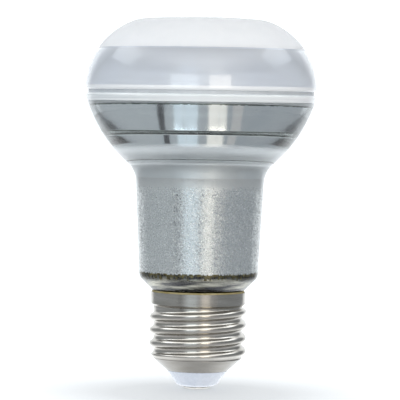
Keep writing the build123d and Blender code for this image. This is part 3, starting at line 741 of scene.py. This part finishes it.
# soft boxes: degrees as seen from the lamp (0 is towards the camera, minus to its left), size in m
softBoxes = {
    "coolBox": {
        "azimuth": -16, "elevation": -11.3, "distance": 0.32, "size": (0.147, 0.3),
        "colour": (0.72, 0.89, 1.0), "power": 0.048,
    },
    "warmBox": {
        "azimuth": 18, "elevation": -11.3, "distance": 0.32, "size": (0.112, 0.3),
        "colour": (1.0, 0.91, 0.78), "power": 0.055,
    },
    "coolTop": {
        "azimuth": -16, "elevation": 15, "distance": 0.32, "size": (0.147, 0.1),
        "colour": (0.86, 0.95, 1.0), "power": 0.135,
    },
    "warmTop": {
        "azimuth": 18, "elevation": 15, "distance": 0.32, "size": (0.112, 0.1),
        "colour": (1.0, 0.92, 0.80), "power": 0.14,
    },
    "leftBox": {
        "azimuth": -100, "elevation": 38, "distance": 0.5, "size": (0.3, 0.16),
        "colour": (0.86, 0.93, 1.0), "power": 0.26,
    },
    "rightBox": {
        "azimuth": 100, "elevation": 38, "distance": 0.5, "size": (0.3, 0.16),
        "colour": (0.86, 0.93, 1.0), "power": 0.26,
    },
}


def buildSoftBox(name, v):
    lamp = bpy.data.lights.new(name, "AREA")
    lamp.shape = "RECTANGLE"
    lamp.size, lamp.size_y = v["size"]
    lamp.color = v["colour"]
    lamp.energy = v["power"]
    box = bpy.data.objects.new(name, lamp)
    box.location, box.rotation_euler = facingLamp(v)
    box.visible_camera = False
    scene.collection.objects.link(box)


for name, values in softBoxes.items():
    buildSoftBox(name, values)

# grey room round the lamp, a little darker to the right and bright overhead
roomValues = {
    "left": (0.39, 0.42, 0.445), "right": (0.31, 0.335, 0.36),
    "above": (2.42, 2.46, 2.50), "aboveFrom": 0.5, "aboveFull": 0.7,
    "zenithFrom": 0.75, "zenithFull": 1.0, "zenithShare": 0.38,
    "sideFrom": 0.3, "sideFull": 0.9, "sideShare": 0.5,
}


def buildRoom(v):
    room = bpy.data.worlds.new("room")
    room.use_nodes = True
    tree = room.node_tree
    way = splitNode(tree, tree.nodes.new("ShaderNodeTexCoord").outputs["Generated"])
    shade = tintNode(tree, rangeNode(tree, way["X"], 0, 1, -1, 1), v["left"], v["right"])
    height = rangeNode(tree, way["Z"], 0, 1, v["aboveFrom"], v["aboveFull"])
    side = mathNode(tree, "ABSOLUTE", way["X"])
    sides = rangeNode(tree, side, 1, v["sideShare"], v["sideFrom"], v["sideFull"])
    zenith = rangeNode(tree, way["Z"], 1, v["zenithShare"], v["zenithFrom"], v["zenithFull"])
    overhead = mathNode(tree, "MULTIPLY", mathNode(tree, "MULTIPLY", height, sides), zenith)
    mix = tree.nodes.new("ShaderNodeMix")
    mix.data_type = "RGBA"
    mixIn = [socket for socket in mix.inputs if socket.type == "RGBA"]
    mixIn[1].default_value = (*v["above"], 1)
    tree.links.new(overhead, mix.inputs["Factor"])
    tree.links.new(shade, mixIn[0])
    mixOut = [socket for socket in mix.outputs if socket.type == "RGBA"][0]
    tree.links.new(mixOut, tree.nodes["Background"].inputs["Color"])
    scene.world = room


buildRoom(roomValues)

# dark cards beside the soft boxes and bars across them, seen in the mirror and on the lens
cards = {
    "darkCard": {
        "azimuth": -43, "elevation": 2, "distance": 0.34,
        "size": (0.044, 0.16), "shade": (0.05, 0.05, 0.055),
    },
    "brownCard": {
        "azimuth": 39, "elevation": 2, "distance": 0.34,
        "size": (0.068, 0.16), "shade": (0.44, 0.42, 0.41),
    },
    "coolBar": {
        "azimuth": -18, "elevation": 8, "distance": 0.31,
        "size": (0.0045, 0.2), "shade": (0.6, 0.62, 0.64),
    },
    "coolRail": {
        "azimuth": -16, "elevation": 14, "distance": 0.31,
        "size": (0.14, 0.0045), "shade": (0.6, 0.62, 0.64),
    },
    "warmBar": {
        "azimuth": 19, "elevation": 8, "distance": 0.31,
        "size": (0.0045, 0.2), "shade": (0.6, 0.6, 0.58),
    },
}


def buildCard(name, v):
    bpy.ops.object.select_all(action="DESELECT")
    bpy.ops.mesh.primitive_plane_add(size=1)
    card = bpy.context.object
    card.name = name
    card.scale = (*v["size"], 1)
    card.location, card.rotation_euler = facingLamp(v)
    card.select_set(False)
    card.visible_camera = False
    finish, tree, shader = newFinish(name + "Paper")
    shader.inputs["Base Color"].default_value = (*v["shade"], 1)
    shader.inputs["Roughness"].default_value = paperValues["cardRoughness"]
    card.data.materials.append(finish)


for name, values in cards.items():
    buildCard(name, values)
scene.view_settings.view_transform = "Standard"
print("stage and lights set")

# camera a little under the seam, looking slightly down, rolled a little so that the lamp leans
cameraValues = {
    "place": (0, -0.70, 0.0784), "aim": (0.0001, 0, 0.0513), "roll": 0.87,
    "lens": 232, "sensor": 36, "near": 0.01,
}


def buildCamera(v):
    data = bpy.data.cameras.new("camera")
    data.lens = v["lens"]
    data.sensor_width = v["sensor"]
    data.clip_start = v["near"]
    camera = bpy.data.objects.new("camera", data)
    camera.location = v["place"]
    look = (Vector(v["aim"]) - Vector(v["place"])).to_track_quat("-Z", "Y")
    camera.rotation_euler = (look @ Quaternion((0, 0, 1), math.radians(v["roll"]))).to_euler()
    scene.collection.objects.link(camera)
    scene.camera = camera


buildCamera(cameraValues)
bpy.context.view_layer.update()
